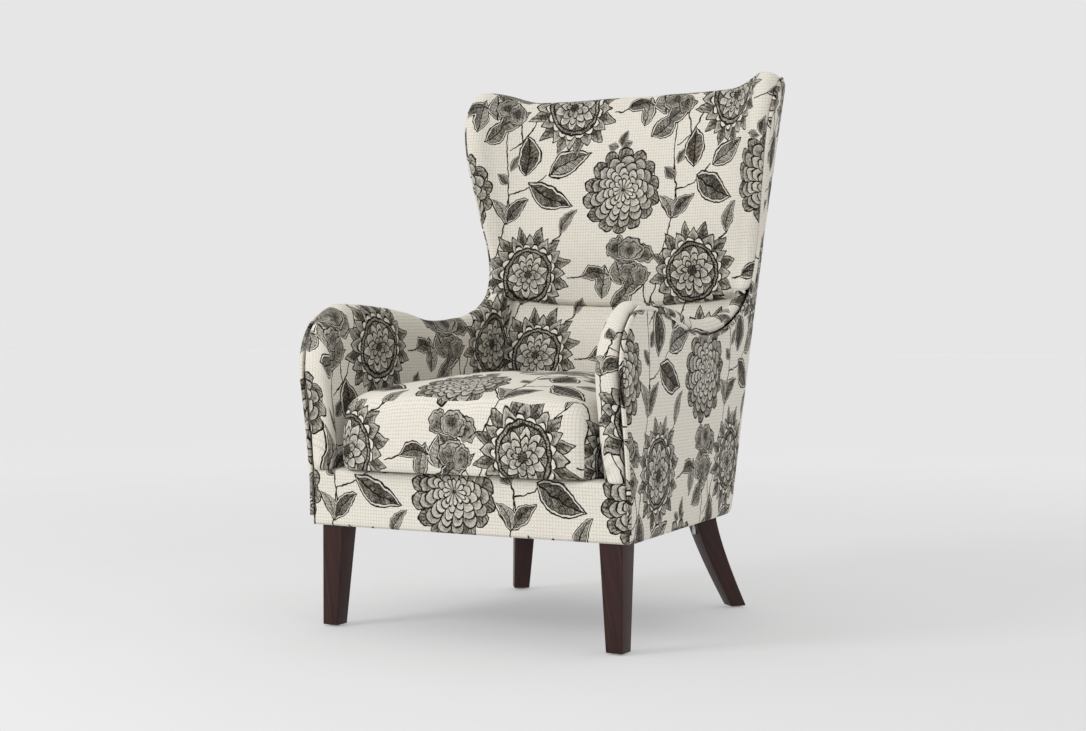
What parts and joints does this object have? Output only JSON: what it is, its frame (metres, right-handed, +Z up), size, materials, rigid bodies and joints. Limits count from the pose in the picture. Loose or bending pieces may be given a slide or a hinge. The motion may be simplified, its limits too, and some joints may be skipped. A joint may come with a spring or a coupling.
{
  "type": "upholstered armchair",
  "caption": "Swoop-arm wing chair in a floral print with a loose box seat cushion, self-welted side edges, tapered front legs and splayed sabre rear legs.",
  "frame": {"origin": "on the floor under the middle of the chair's overall box", "axes": "+Z up, the seat faces -Y, +X to the right of someone looking at the front"},
  "size_m": [0.68, 0.7056, 0.9945],
  "materials": {
    "printed_fabric": "ivory basket weave printed with charcoal flowers",
    "espresso_wood": "satin espresso stain",
    "frame_hardwood": "planed, unfinished",
    "frame_plywood": "sawn, unfinished",
    "spring_steel": "oiled wire",
    "zinc_steel": "zinc plated",
    "lining_cloth": "black non-woven",
    "jute_webbing": "woven tape",
    "glide_nylon": "moulded",
    "foam": "open-cell foam",
    "fibre_wrap": "polyester fibre",
    "zip_tape": "coil zip on woven tape"
  },
  "bodies": {
    "chair": {"front_rail": "frame_hardwood", "back_rail": "frame_hardwood", "side_rail_left": "frame_hardwood", "side_rail_right": "frame_hardwood", "corner_blocks": "frame_hardwood", "arm_post_left": "frame_hardwood", "arm_post_right": "frame_hardwood", "arm_rail_left": "frame_hardwood", "arm_rail_right": "frame_hardwood", "back_post_left": "frame_hardwood", "back_post_right": "frame_hardwood", "top_rail": "frame_hardwood", "lumbar_rail": "frame_hardwood", "tuck_rail": "frame_hardwood", "wing_board_left": "frame_plywood", "wing_board_right": "frame_plywood", "seat_springs": "spring_steel", "spring_clips": "zinc_steel", "deck_cloth": "lining_cloth", "deck_pad": "foam", "back_webbing": "jute_webbing", "dust_cover": "lining_cloth", "front_leg_left": "espresso_wood", "front_leg_right": "espresso_wood", "rear_leg_left": "espresso_wood", "rear_leg_right": "espresso_wood", "leg_bolts": "zinc_steel", "leg_plates": "zinc_steel", "leg_glides": "glide_nylon", "arm_pad_left": "foam", "arm_pad_right": "foam", "wing_pad_left": "foam", "wing_pad_right": "foam", "back_pad": "foam", "lumbar_pad": "foam", "front_band": "printed_fabric", "inside_arm_cover_left": "printed_fabric", "inside_arm_cover_right": "printed_fabric", "inside_back_cover": "printed_fabric", "lumbar_cover": "printed_fabric", "outside_side_cover_left": "printed_fabric", "outside_side_cover_right": "printed_fabric", "outside_back_cover": "printed_fabric", "side_welt_left": "printed_fabric", "side_welt_right": "printed_fabric"},
    "seat_cushion": {"cushion_core": "foam", "cushion_wrap": "fibre_wrap", "cushion_top_cover": "printed_fabric", "cushion_bottom_cover": "printed_fabric", "cushion_zip": "zip_tape"}
  },
  "joints": [
    {"name": "cushion_lift", "type": "slide", "parent": "chair", "child": "seat_cushion", "axis": [0, -0.8192, 0.5736], "range_m": [0, 0.7]}
  ]
}
